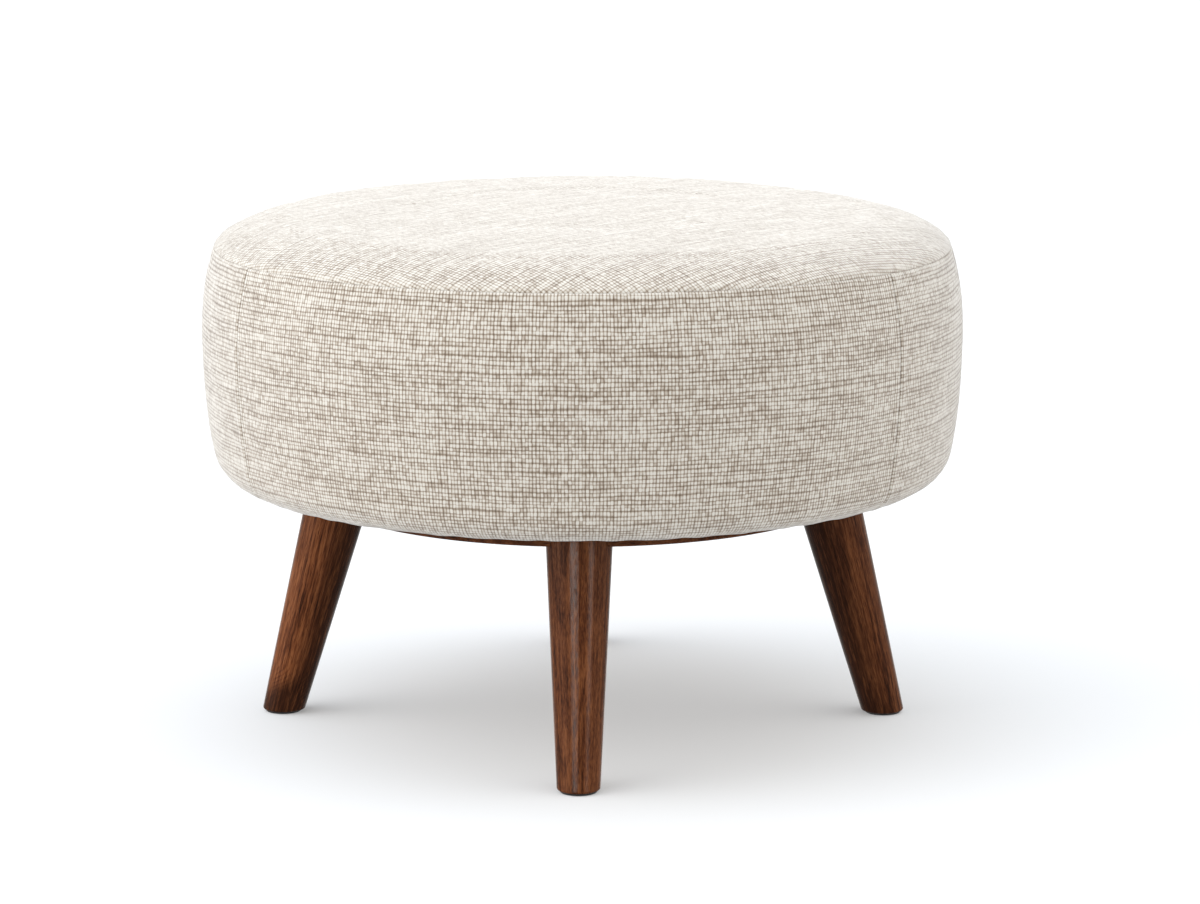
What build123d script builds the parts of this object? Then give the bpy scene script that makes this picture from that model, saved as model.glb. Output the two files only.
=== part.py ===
from build123d import *
import math
import os

# A round upholstered stool: a padded drum that stands on four splayed, turned legs.
# Millimetres, +Z up. The origin is on the floor below the centre of the seat.
# The front leg points to -Y and the right leg to +X.
# Bearings are degrees from the front, positive to the right.

# Upholstered drum, outside
SEAT_DIAMETER = 610.0           # across the widest part of the side
SEAT_DEPTH = 215.0              # underside of the cover to the top of the crown
CROWN_RISE = 29.5               # top seam to the top of the crown
SHOULDER_WIDTH = 54.0           # top seam inwards to where the crown starts to fall away
SHOULDER_FALL = 6.4             # that place lies this far below the top of the crown
EDGE_ROLL_RADIUS = 17.0         # the top panel rolls over into the seam
SEAM_INSET = 10.2               # the top seam lies this far inside the widest part
WIDEST_BELOW_SEAM = 66.0
SIDE_RADIUS = 560.0             # slow curve of the side below its widest part
BOTTOM_CORNER_RADIUS = 25.0
SIDE_SEAM_BEARINGS = (-60.0, 53.5, 177.0)

# Soft layers
FABRIC_THICKNESS = 1.2
WADDING_THICKNESS = 5.0
SEAT_FOAM_BELOW_SEAM = 46.5     # seat board up to the top seam

# Drum frame
BASE_BOARD_THICKNESS = 18.0
SEAT_BOARD_THICKNESS = 15.0
DRUM_SETBACK = 1.5              # the drum stops this far inside the start of the bottom corner
WRAP_THICKNESS = 3.0            # bent fibreboard round the drum
WRAP_JOINT_GAP = 1.5            # where the two ends of the strip meet, at the back
POST_COUNT = 8
POST_WIDTH = 40.0
POST_DEPTH = 40.0
POST_CLEARANCE = 0.2            # between a post's outer corners and the wrap
FIRST_POST_BEARING = 22.5

# Legs
LEG_NAMES = ("front", "right", "rear", "left")
LEG_HEIGHT = 199.8              # foot to the top of the leg, measured upright
LEG_SPLAY = 14.8                # degrees from upright
LEG_TOP_RADIUS = 26.6
LEG_FOOT_RADIUS = 16.7
LEG_INSET = 74.8                # edge of the boards in to the centre of a leg's top
FOOT_ROUNDING = 1.5

# Glide under each foot, with the nail that holds it
GLIDE_DIAMETER = 29.0
GLIDE_THICKNESS = 1.8
GLIDE_ROUNDING = 0.8
NAIL_HEAD_DIAMETER = 6.0
NAIL_HEAD_THICKNESS = 0.8
NAIL_HEAD_RECESS = 0.5          # the head stays clear of the floor
NAIL_DIAMETER = 2.2
NAIL_LENGTH = 18.0              # under the head
NAIL_POINT = 3.0

# Plinth disc, whose scallops hold the leg tops from turning
PLINTH_LAP = 20.0               # leg centre out to the rim
PLINTH_THICKNESS = 19.0
PLINTH_EASING = 1.5             # the lower edge of the rim is planed off
SCALLOP_CLEARANCE = 0.3
PLINTH_SCREW_COUNT = 8
PLINTH_SCREW_INSET = 62.0       # rim in to the screws
PLINTH_SCREW_LENGTH = 30.0
PLINTH_SCREW_DIAMETER = 4.0
PLINTH_SCREW_HEAD = 8.0

# Hanger bolt in each leg, and the pronged nut it screws into
BOLT_DIAMETER = 8.0
BOLT_WOOD_LENGTH = 40.0         # below the top of the leg
BOLT_POINT = 6.0
BOLT_PROUD = 2.0                # above the nut
BOLT_RELIEF_DIAMETER = 6.8      # plain waist between the two threads
BOLT_RELIEF_LENGTH = 3.0
BOLT_CHAMFER = 0.8
NUT_FLANGE_DIAMETER = 22.0
NUT_FLANGE_THICKNESS = 1.5
NUT_BARREL_DIAMETER = 10.0
NUT_BARREL_LENGTH = 12.0
NUT_PRONG_COUNT = 4
NUT_PRONG_WIDTH = 3.0
NUT_PRONG_THICKNESS = 1.2
NUT_PRONG_LENGTH = 6.0

# Screws through the boards into the posts
FRAME_SCREW_LENGTH = 45.0
FRAME_SCREW_DIAMETER = 4.5
FRAME_SCREW_HEAD = 9.0

# Underside cloth
HEM_GAP = 3.0                   # leg top out to the inner edge of the turned-in cover
DUST_THICKNESS = 0.6
DUST_LAP = 18.0                 # dust cover over the turned-in cover
DUST_FIT = 0.2                  # between the two cloths' edges
DUST_HOLE_CLEARANCE = 0.3       # round bolts and screws

# Staples: wire legs and a flat crown, driven flush with the cloth and just below the face of the wrap
STAPLE_CROWN = 10.0
STAPLE_WIDTH = 0.9
STAPLE_WIRE = 0.5
STAPLE_LEG = 7.0
HEM_STAPLE_COUNT = 24
HEM_STAPLE_INSET = 8.0          # from the cover's inner edge
DUST_STAPLE_COUNT = 24
DUST_STAPLE_INSET = 4.0         # from the dust cover's edge
WRAP_STAPLE_COUNT = 8           # into the edge of each board
WRAP_STAPLE_SET = 0.1
STAPLE_POCKET_SPARE = 0.05      # round a staple in what it is driven into

# Heights, from the floor up
foot_z = GLIDE_THICKNESS
leg_top_z = foot_z + LEG_HEIGHT
board_z = leg_top_z + DUST_THICKNESS
underside_z = board_z - FABRIC_THICKNESS
base_top_z = board_z + BASE_BOARD_THICKNESS
crown_z = underside_z + SEAT_DEPTH
seam_z = crown_z - CROWN_RISE
widest_z = seam_z - WIDEST_BELOW_SEAM
seat_top_z = seam_z - SEAT_FOAM_BELOW_SEAM
seat_board_z = seat_top_z - SEAT_BOARD_THICKNESS
plinth_z = leg_top_z - PLINTH_THICKNESS

# The drum's outline is a chain of arcs, each tangent to the next, from the crown down to the underside.
# Each arc is (centre radius, centre height, arc radius), so a layer further in has the same centres.
seat_radius = SEAT_DIAMETER / 2
seam_radius = seat_radius - SEAM_INSET
upper_radius = (WIDEST_BELOW_SEAM**2 + SEAM_INSET**2) / (2 * SEAM_INSET)
upper_arc = (seat_radius - upper_radius, widest_z, upper_radius)
seam_angle = math.asin(WIDEST_BELOW_SEAM / upper_radius)

roll_arc = (
    seam_radius - EDGE_ROLL_RADIUS * math.cos(seam_angle),
    seam_z - EDGE_ROLL_RADIUS * math.sin(seam_angle),
    EDGE_ROLL_RADIUS,
)

shoulder_r = seam_radius - SHOULDER_WIDTH
shoulder_z = crown_z - SHOULDER_FALL
crown_radius = (shoulder_r**2 + SHOULDER_FALL**2) / (2 * SHOULDER_FALL)
crown_arc = (0.0, crown_z - crown_radius, crown_radius)
crown_angle = math.acos(shoulder_r / crown_radius)

to_roll = (shoulder_r - roll_arc[0], shoulder_z - roll_arc[1])
reach = to_roll[0] * math.cos(crown_angle) + to_roll[1] * math.sin(crown_angle)
shoulder_radius = (math.hypot(*to_roll) ** 2 - EDGE_ROLL_RADIUS**2) / (2 * (reach - EDGE_ROLL_RADIUS))
shoulder_arc = (
    shoulder_r - shoulder_radius * math.cos(crown_angle),
    shoulder_z - shoulder_radius * math.sin(crown_angle),
    shoulder_radius,
)
roll_angle = math.atan2(roll_arc[1] - shoulder_arc[1], roll_arc[0] - shoulder_arc[0])

lower_arc = (seat_radius - SIDE_RADIUS, widest_z, SIDE_RADIUS)
corner_z = underside_z + BOTTOM_CORNER_RADIUS
corner_r = lower_arc[0] + math.sqrt((SIDE_RADIUS - BOTTOM_CORNER_RADIUS) ** 2 - (widest_z - corner_z) ** 2)
corner_arc = (corner_r, corner_z, BOTTOM_CORNER_RADIUS)
corner_angle = math.atan2(corner_z - widest_z, corner_r - lower_arc[0])

TOP_ARCS = (
    (crown_arc, math.pi / 2, crown_angle),
    (shoulder_arc, crown_angle, roll_angle),
    (roll_arc, roll_angle, seam_angle),
)
SIDE_ARCS = (
    (upper_arc, seam_angle, 0.0),
    (lower_arc, 0.0, corner_angle),
    (corner_arc, corner_angle, -math.pi / 2),
)

# Radii in plan
leg_count = len(LEG_NAMES)
wrap_radius = corner_r - DRUM_SETBACK
frame_radius = wrap_radius - WRAP_THICKNESS
leg_circle = frame_radius - LEG_INSET
leg_slope = math.radians(LEG_SPLAY)
hem_radius = leg_circle + LEG_TOP_RADIUS / math.cos(leg_slope) + HEM_GAP
dust_radius = hem_radius + DUST_LAP
plinth_radius = leg_circle + PLINTH_LAP
plinth_screw_circle = plinth_radius - PLINTH_SCREW_INSET
foot_circle = leg_circle + LEG_HEIGHT * math.tan(leg_slope)
post_face = math.sqrt((frame_radius - POST_CLEARANCE) ** 2 - (POST_WIDTH / 2) ** 2)
post_circle = post_face - POST_DEPTH / 2

leg_bearings = [360.0 / leg_count * i for i in range(leg_count)]
post_bearings = [FIRST_POST_BEARING + 360.0 / POST_COUNT * i for i in range(POST_COUNT)]


def at_bearing(shape, bearing):
    """Turns a shape made on the +X side to a bearing."""
    return Rot(0, 0, bearing - 90) * shape


def ring_of(shape, count, first=0.0):
    """Copies of a shape made on the +X side, evenly spaced from a first bearing."""
    return [at_bearing(shape, first + 360.0 / count * i) for i in range(count)]


def point_on(arc, angle, inset):
    r, z, radius = arc
    return (r + (radius - inset) * math.cos(angle), 0, z + (radius - inset) * math.sin(angle))


def outline(arcs, inset):
    """The chain of arcs, moved in by the inset, from its upper end to its lower end."""
    edges = []
    for arc, start, end in arcs:
        points = [point_on(arc, angle, inset) for angle in (start, (start + end) / 2, end)]
        edges.append(ThreePointArc(*points))
    return edges


def closed_face(points_after, edges):
    """Closes a chain of edges with straight lines through the points, back to its start."""
    corners = [edges[-1] @ 1, *[Vector(p) for p in points_after], edges[0] @ 0]
    lines = [Line(a, b) for a, b in zip(corners, corners[1:])]
    return make_face(edges + lines)


def layer_face(arcs, outer_inset, inner_inset, flat_to=None):
    """Section of one soft layer. A side layer also runs flat along the underside to the radius flat_to."""
    outside = outline(arcs, outer_inset)
    inside = outline(arcs, inner_inset)
    if flat_to is not None:
        for edges in (outside, inside):
            end = edges[-1] @ 1
            edges.append(Line(end, (flat_to, 0, end.Z)))
    across = [Line(outside[-1] @ 1, inside[-1] @ 1), Line(inside[0] @ 0, outside[0] @ 0)]
    return make_face(outside + inside + across)


def drum_body(inset):
    """The whole drum, moved in by the inset."""
    edges = outline(TOP_ARCS + SIDE_ARCS, inset)
    bottom = (edges[-1] @ 1).Z
    return revolve(closed_face([(0, 0, bottom)], edges), Axis.Z)


def turned(points):
    """A solid of revolution about Z from (radius, height) points."""
    return revolve(make_face(Polyline(*[(r, 0, z) for r, z in points], close=True)), Axis.Z)


def disc(radius, low, high):
    return Pos(0, 0, low) * Cylinder(radius, high - low, align=(Align.CENTER, Align.CENTER, Align.MIN))


def wood_screw(length, diameter, head):
    """Countersunk screw along +Z, with the face of its head at the origin."""
    shank = diameter / 2
    head_depth = head / 2 - shank
    return turned([(0, 0), (head / 2, 0), (shank, head_depth), (shank, length - diameter), (0, length)])


def staple(spare=0.0, above=0.0):
    """Crown along X with its outer face at the origin, legs along +Z.

    A pocket for one has spare room all round and is open above the crown.
    """
    side = (STAPLE_CROWN - STAPLE_WIRE) / 2
    low = (Align.CENTER, Align.CENTER, Align.MIN)
    span = STAPLE_CROWN + 2 * spare
    width = STAPLE_WIDTH + 2 * spare
    wire = STAPLE_WIRE + 2 * spare
    leg = STAPLE_LEG + spare + above
    crown = Box(span, width, STAPLE_WIRE + spare + above, align=low)
    legs = [Pos(x, 0, 0) * Box(wire, width, leg, align=low) for x in (-side, side)]
    return Pos(0, 0, -above) * (crown + legs)


def staples_and_pockets(entry, count, first):
    """Staples driven in at a place on the +X side and its repeats, and the pockets that they make."""
    pocket = staple(STAPLE_POCKET_SPARE, STAPLE_WIRE)
    return ring_of(entry * staple(), count, first), ring_of(entry * pocket, count, first)


def underside_entry(radius, height):
    return Pos(radius, 0, height) * Rot(0, 0, 90)


# Fasteners of the underside come first, because the cloth and the boards are cut for them
half_pitch = 180.0 / HEM_STAPLE_COUNT
hem_entry = underside_entry(hem_radius + HEM_STAPLE_INSET, underside_z)
hem_staples, hem_pockets = staples_and_pockets(hem_entry, HEM_STAPLE_COUNT, half_pitch)
dust_entry = underside_entry(dust_radius - DUST_STAPLE_INSET, underside_z - DUST_THICKNESS)
dust_staples, dust_pockets = staples_and_pockets(dust_entry, DUST_STAPLE_COUNT, 0.0)

plinth_screw = wood_screw(PLINTH_SCREW_LENGTH, PLINTH_SCREW_DIAMETER, PLINTH_SCREW_HEAD)
plinth_screws = ring_of(
    Pos(plinth_screw_circle, 0, plinth_z) * plinth_screw, PLINTH_SCREW_COUNT, 180.0 / PLINTH_SCREW_COUNT
)

frame_screw = wood_screw(FRAME_SCREW_LENGTH, FRAME_SCREW_DIAMETER, FRAME_SCREW_HEAD)
base_screws = ring_of(Pos(post_circle, 0, board_z) * frame_screw, POST_COUNT, FIRST_POST_BEARING)
seat_screws = ring_of(
    Pos(post_circle, 0, seat_top_z) * Rot(180, 0, 0) * frame_screw, POST_COUNT, FIRST_POST_BEARING
)


# Staples that hold the bent fibreboard to the edges of the two boards
def wrap_staples_at(height):
    entry = Plane((wrap_radius - WRAP_STAPLE_SET, 0, height), x_dir=(0, 0, 1), z_dir=(-1, 0, 0))
    return staples_and_pockets(entry.location, WRAP_STAPLE_COUNT, 180.0 / WRAP_STAPLE_COUNT)


base_wrap_staples, base_wrap_pockets = wrap_staples_at(board_z + BASE_BOARD_THICKNESS / 2)
seat_wrap_staples, seat_wrap_pockets = wrap_staples_at(seat_board_z + SEAT_BOARD_THICKNESS / 2)


# Pronged nut, let into the top face of the base board, made on the +X side
def pronged_nut():
    bore = BOLT_DIAMETER / 2
    body = turned([
        (bore, base_top_z + NUT_FLANGE_THICKNESS),
        (NUT_FLANGE_DIAMETER / 2, base_top_z + NUT_FLANGE_THICKNESS),
        (NUT_FLANGE_DIAMETER / 2, base_top_z),
        (NUT_BARREL_DIAMETER / 2, base_top_z),
        (NUT_BARREL_DIAMETER / 2, base_top_z - NUT_BARREL_LENGTH),
        (bore, base_top_z - NUT_BARREL_LENGTH),
    ])
    prong = Box(
        NUT_PRONG_THICKNESS, NUT_PRONG_WIDTH, NUT_PRONG_LENGTH, align=(Align.MAX, Align.CENTER, Align.MAX)
    )
    prong = Pos(NUT_FLANGE_DIAMETER / 2 - NUT_PRONG_THICKNESS, 0, base_top_z) * prong
    prongs = [Rot(0, 0, 45 + 360.0 / NUT_PRONG_COUNT * i) * prong for i in range(NUT_PRONG_COUNT)]
    return Pos(leg_circle, 0, 0) * (body + prongs)


# Hanger bolt: wood thread in the leg, machine thread up through the base board
def hanger_bolt():
    shank = BOLT_DIAMETER / 2
    waist = BOLT_RELIEF_DIAMETER / 2
    tip_z = leg_top_z - BOLT_WOOD_LENGTH
    end_z = base_top_z + NUT_FLANGE_THICKNESS + BOLT_PROUD
    body = turned([
        (0, tip_z),
        (shank, tip_z + BOLT_POINT),
        (shank, leg_top_z),
        (waist, leg_top_z),
        (waist, leg_top_z + BOLT_RELIEF_LENGTH),
        (shank, leg_top_z + BOLT_RELIEF_LENGTH),
        (shank, end_z - BOLT_CHAMFER),
        (shank - BOLT_CHAMFER, end_z),
        (0, end_z),
    ])
    return Pos(leg_circle, 0, 0) * body


nut = pronged_nut()
bolt = hanger_bolt()


# Nail and glide under a foot
def glide_nail():
    head_z = NAIL_HEAD_RECESS
    shank_z = head_z + NAIL_HEAD_THICKNESS
    shank = NAIL_DIAMETER / 2
    body = turned([
        (0, head_z),
        (NAIL_HEAD_DIAMETER / 2, head_z),
        (NAIL_HEAD_DIAMETER / 2, shank_z),
        (shank, shank_z),
        (shank, shank_z + NAIL_LENGTH - NAIL_POINT),
        (0, shank_z + NAIL_LENGTH),
    ])
    return Pos(foot_circle, 0, 0) * body


nail = glide_nail()


def foot_glide():
    pad = disc(GLIDE_DIAMETER / 2, 0, GLIDE_THICKNESS)
    pad = fillet(pad.edges().group_by(Axis.Z)[0], GLIDE_ROUNDING)
    pad -= disc(NAIL_HEAD_DIAMETER / 2, 0, NAIL_HEAD_RECESS + NAIL_HEAD_THICKNESS)
    return Pos(foot_circle, 0, 0) * pad - nail


# Turned leg: a taper along a splayed axis, sawn level at both ends
def leg_taper(growth=0.0):
    """The taper before sawing, with its radius grown for a clearance."""
    slant = LEG_HEIGHT / math.cos(leg_slope)
    thinning = (LEG_TOP_RADIUS - LEG_FOOT_RADIUS) / slant
    spare = LEG_TOP_RADIUS
    axis = (math.sin(leg_slope), 0, -math.cos(leg_slope))
    start = Vector(leg_circle, 0, leg_top_z) - Vector(*axis) * spare
    top_r = LEG_TOP_RADIUS + thinning * spare + growth
    foot_r = LEG_FOOT_RADIUS - thinning * spare + growth
    outward = (math.cos(leg_slope), 0, math.sin(leg_slope))
    return Plane(start, x_dir=outward, z_dir=axis) * Cone(
        top_r, foot_r, slant + 2 * spare, align=(Align.CENTER, Align.CENTER, Align.MIN)
    )


def turned_leg():
    slab = disc(foot_circle + 2 * LEG_TOP_RADIUS, foot_z, leg_top_z)
    blank = leg_taper() & slab
    blank = fillet(blank.edges().group_by(Axis.Z)[0], FOOT_ROUNDING)
    return blank - [bolt, nail]


leg = turned_leg()


# Plinth disc: a scallop for each leg, open at the rim
def plinth_disc():
    body = disc(plinth_radius, plinth_z, leg_top_z)
    body = chamfer(body.edges().group_by(Axis.Z)[0], PLINTH_EASING)
    scallops = ring_of(leg_taper(SCALLOP_CLEARANCE), leg_count)
    return body - scallops - plinth_screws


# Drum frame
def base_board():
    board = disc(frame_radius, board_z, base_top_z)
    barrel_hole = Pos(leg_circle, 0, 0) * disc(NUT_BARREL_DIAMETER / 2, board_z, base_top_z)
    holes = ring_of(barrel_hole, leg_count) + ring_of(nut, leg_count)
    return board - holes - plinth_screws - base_screws - hem_pockets - dust_pockets - base_wrap_pockets


def seat_board():
    return disc(frame_radius, seat_board_z, seat_top_z) - seat_screws - seat_wrap_pockets


def frame_post():
    height = seat_board_z - base_top_z
    block = Box(POST_DEPTH, POST_WIDTH, height, align=(Align.CENTER, Align.CENTER, Align.MIN))
    lower = Pos(post_circle, 0, board_z) * frame_screw
    upper = Pos(post_circle, 0, seat_top_z) * Rot(180, 0, 0) * frame_screw
    return Pos(post_circle, 0, base_top_z) * block - [lower, upper]


def drum_wrap():
    strip = disc(wrap_radius, board_z, seat_top_z) - disc(frame_radius, board_z, seat_top_z)
    height = seat_top_z - board_z
    slit = Box(4 * WRAP_THICKNESS, WRAP_JOINT_GAP, height, align=(Align.CENTER, Align.CENTER, Align.MIN))
    joint = Pos(wrap_radius, 0, board_z) * slit
    return strip - at_bearing(joint, 180.0) - base_wrap_pockets - seat_wrap_pockets


# Padding: a seat slab on the seat board, a wrap round the drum, and wadding over both
padding_inset = FABRIC_THICKNESS + WADDING_THICKNESS
padding = drum_body(padding_inset)
seat_plane = Plane.XY.offset(seat_top_z)


def seat_foam():
    return split(padding, seat_plane, keep=Keep.TOP)


def side_foam():
    return split(padding, seat_plane, keep=Keep.BOTTOM) - disc(wrap_radius, underside_z, seat_top_z)


def top_wadding():
    return revolve(layer_face(TOP_ARCS, FABRIC_THICKNESS, padding_inset), Axis.Z)


def side_wadding():
    return revolve(layer_face(SIDE_ARCS, FABRIC_THICKNESS, padding_inset, wrap_radius), Axis.Z)


# Cover: a round top panel sewn to three side panels, which turn in under the drum
def top_panel():
    return revolve(layer_face(TOP_ARCS, 0.0, FABRIC_THICKNESS), Axis.Z)


def side_panel(start, end):
    section = layer_face(SIDE_ARCS, 0.0, FABRIC_THICKNESS, hem_radius)
    panel = at_bearing(revolve(section, Axis.Z, revolution_arc=end - start), start)
    return panel - hem_pockets - dust_pockets


# Dust cover: thin cloth over the bare board, stepping down over the cover's turned-in edge
def dust_cover():
    step = hem_radius - DUST_FIT
    cloth = turned([
        (0, board_z),
        (step, board_z),
        (step, underside_z),
        (dust_radius, underside_z),
        (dust_radius, underside_z - DUST_THICKNESS),
        (step - DUST_THICKNESS, underside_z - DUST_THICKNESS),
        (step - DUST_THICKNESS, leg_top_z),
        (0, leg_top_z),
    ])
    low = leg_top_z
    bolt_hole = Pos(leg_circle, 0, 0) * disc(BOLT_DIAMETER / 2 + DUST_HOLE_CLEARANCE, low, board_z)
    screw_hole = Pos(plinth_screw_circle, 0, 0) * disc(
        PLINTH_SCREW_DIAMETER / 2 + DUST_HOLE_CLEARANCE, low, board_z
    )
    holes = ring_of(bolt_hole, leg_count)
    holes += ring_of(screw_hole, PLINTH_SCREW_COUNT, 180.0 / PLINTH_SCREW_COUNT)
    return cloth - holes - dust_pockets


front_left, front_right, rear_seam = SIDE_SEAM_BEARINGS
pieces = {
    "top_panel": top_panel(),
    "side_panel_front": side_panel(front_left, front_right),
    "side_panel_right": side_panel(front_right, rear_seam),
    "side_panel_left": side_panel(rear_seam, front_left + 360.0),
    "wadding_top": top_wadding(),
    "wadding_side": side_wadding(),
    "seat_foam": seat_foam(),
    "side_foam": side_foam(),
    "seat_board": seat_board(),
    "base_board": base_board(),
    "drum_wrap": drum_wrap(),
    "seat_board_screws": seat_screws,
    "base_board_screws": base_screws,
    "drum_wrap_staples": base_wrap_staples + seat_wrap_staples,
    "cover_staples": hem_staples,
    "dust_cover": dust_cover(),
    "dust_cover_staples": dust_staples,
    "plinth_disc": plinth_disc(),
    "plinth_screws": plinth_screws,
    "glide_nails": ring_of(nail, leg_count),
}
for number, bearing in enumerate(post_bearings, start=1):
    pieces[f"frame_post_{number}"] = at_bearing(frame_post(), bearing)
glide = foot_glide()
for name, bearing in zip(LEG_NAMES, leg_bearings):
    pieces[f"leg_{name}"] = at_bearing(leg, bearing)
    pieces[f"hanger_bolt_{name}"] = at_bearing(bolt, bearing)
    pieces[f"pronged_nut_{name}"] = at_bearing(nut, bearing)
    pieces[f"glide_{name}"] = at_bearing(glide, bearing)

os.makedirs("parts", exist_ok=True)
for name, shape in pieces.items():
    if isinstance(shape, list):
        shape = Compound(children=shape)
    export_step(shape, f"parts/{name}.step")
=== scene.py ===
from math import acos, asin, atan2, cos, exp, hypot, pi, radians, sin, sqrt, tanh

import bmesh
import bpy
from mathutils import Matrix, Vector, noise
from mathutils.bvhtree import BVHTree


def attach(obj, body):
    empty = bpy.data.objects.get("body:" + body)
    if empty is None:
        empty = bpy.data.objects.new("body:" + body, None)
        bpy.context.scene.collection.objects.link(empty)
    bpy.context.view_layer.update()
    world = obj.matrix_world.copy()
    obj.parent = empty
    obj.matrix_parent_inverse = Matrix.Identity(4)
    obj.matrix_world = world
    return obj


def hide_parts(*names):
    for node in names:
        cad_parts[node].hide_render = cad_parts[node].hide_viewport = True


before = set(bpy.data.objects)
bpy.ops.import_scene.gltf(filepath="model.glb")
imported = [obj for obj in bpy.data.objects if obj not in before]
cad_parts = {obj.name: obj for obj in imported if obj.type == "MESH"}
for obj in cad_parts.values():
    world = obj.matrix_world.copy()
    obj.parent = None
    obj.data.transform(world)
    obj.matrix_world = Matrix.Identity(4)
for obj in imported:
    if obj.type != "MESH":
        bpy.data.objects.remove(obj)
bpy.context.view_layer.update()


# Drum frame boards: the base board and the seat board, two discs of birch plywood.
# They are sawn from sheet, so the edges show the plies, and screwed to the posts from outside.
PLY_THICKNESS = 0.0026
BIRCH_LIGHT = (0.60, 0.43, 0.26)
BIRCH_DARK = (0.36, 0.22, 0.12)


def new_finish(name):
    """A new material, with its node tree and its surface shader."""
    material = bpy.data.materials.new(name)
    material.use_nodes = True
    tree = material.node_tree
    return material, tree, tree.nodes["Principled BSDF"]


def set_inputs(tree, node, inputs):
    """Sets or links the sockets that the dictionary names."""
    for socket, value in inputs.items():
        if isinstance(value, bpy.types.NodeSocket):
            tree.links.new(value, node.inputs[socket])
        else:
            node.inputs[socket].default_value = value


def add_node(tree, kind, inputs, **settings):
    """A new shader node with its settings and its inputs."""
    node = tree.nodes.new("ShaderNode" + kind)
    for name, value in settings.items():
        setattr(node, name, value)
    set_inputs(tree, node, inputs)
    return node


def calc(tree, operation, a, b=0.0, c=0.0, clamp=False):
    """One step of arithmetic on two or three numbers."""
    return add_node(tree, "Math", {0: a, 1: b, 2: c}, operation=operation, use_clamp=clamp).outputs[0]


def fade(tree, value, low, high):
    """0 below low, 1 above high, and a smooth step between."""
    node = add_node(tree, "MapRange", {0: value, 1: low, 2: high}, interpolation_type="SMOOTHSTEP")
    return node.outputs[0]


def blend(tree, share, a, b):
    """Mixes two colours."""
    colours = [(*c, 1.0) if isinstance(c, tuple) else c for c in (a, b)]
    node = add_node(tree, "Mix", {0: share, 6: colours[0], 7: colours[1]}, data_type="RGBA")
    return node.outputs[2]


def grain_noise(tree, place, scale, detail=3.0, roughness=0.55):
    """Fine noise over a place, as a number from 0 to 1."""
    node = add_node(
        tree, "TexNoise", {"Vector": place, "Scale": scale, "Detail": detail, "Roughness": roughness}
    )
    return node.outputs[0]


def placed(tree, stretch=(1.0, 1.0, 1.0), turn=(0.0, 0.0, 0.0), shift=(0.0, 0.0, 0.0)):
    """Object coordinates, shifted, turned and stretched."""
    object_place = add_node(tree, "TexCoord", {}).outputs["Object"]
    node = add_node(tree, "Mapping", {"Vector": object_place, "Location": shift, "Rotation": turn})
    stretched = add_node(tree, "VectorMath", {0: node.outputs[0], 1: stretch}, operation="MULTIPLY")
    return stretched.outputs[0]


def paint(node_name, material):
    """Gives a CAD node's object one material."""
    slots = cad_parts[node_name].data.materials
    slots.clear()
    slots.append(material)


def relief(tree, height, distance, strength=1.0):
    """Fine relief of a surface, as the normal that its shader takes."""
    node = add_node(tree, "Bump", {"Height": height, "Distance": distance, "Strength": strength})
    return node.outputs[0]


def birch_plywood():
    material, tree, surface = new_finish("birch_plywood")
    figure = grain_noise(tree, placed(tree, (1.0, 14.0, 1.0)), scale=12.0, detail=5.0)
    face = blend(tree, fade(tree, figure, low=0.35, high=0.7), BIRCH_LIGHT, BIRCH_DARK)
    place = add_node(tree, "TexCoord", {}).outputs["Object"]
    height = add_node(tree, "SeparateXYZ", {0: place}).outputs[2]
    ply = calc(tree, "PINGPONG", calc(tree, "DIVIDE", height, PLY_THICKNESS), 1.0)
    edge = blend(tree, fade(tree, ply, low=0.4, high=0.6), BIRCH_DARK, BIRCH_LIGHT)
    normal = add_node(tree, "NewGeometry", {}).outputs["Normal"]
    upright = calc(tree, "ABSOLUTE", add_node(tree, "SeparateXYZ", {0: normal}).outputs[2])
    set_inputs(tree, surface, {
        "Base Color": blend(tree, fade(tree, upright, low=0.4, high=0.6), edge, face),
        "Roughness": 0.7,
        "Normal": relief(tree, figure, distance=0.0003),
    })
    return material


plywood = birch_plywood()
paint("base_board", plywood)
paint("seat_board", plywood)


# Frame posts: eight square posts of planed pine between the two boards, with their grain upright.
# They are cut square at both ends, and one screw through each board holds them.
POST_COUNT = 8
PINE_LIGHT = (0.66, 0.45, 0.24)
PINE_DARK = (0.46, 0.25, 0.10)


def planed_pine():
    material, tree, surface = new_finish("planed_pine")
    wander = grain_noise(tree, placed(tree, (1.0, 1.0, 0.12)), scale=40.0)
    place = placed(tree, (1.0, 1.0, 0.03))
    rings = add_node(tree, "TexWave", {
        "Vector": place, "Scale": 38.0, "Distortion": 5.0, "Detail": 2.0, "Detail Scale": 1.5
    }).outputs["Fac"]
    figure = calc(tree, "MULTIPLY_ADD", wander, 0.35, calc(tree, "MULTIPLY", rings, 0.65))
    set_inputs(tree, surface, {
        "Base Color": blend(tree, fade(tree, figure, low=0.35, high=0.8), PINE_LIGHT, PINE_DARK),
        "Roughness": 0.65,
        "Normal": relief(tree, figure, distance=0.0002),
    })
    return material


pine = planed_pine()
for number in range(1, POST_COUNT + 1):
    paint(f"frame_post_{number}", pine)


# Frame screws and pronged nuts: zinc-plated steel. The screws go through both boards into the posts,
# and a nut is hammered into the base board above each leg.
ZINC = (0.62, 0.63, 0.64)
ZINC_DULL = (0.42, 0.42, 0.41)


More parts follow.
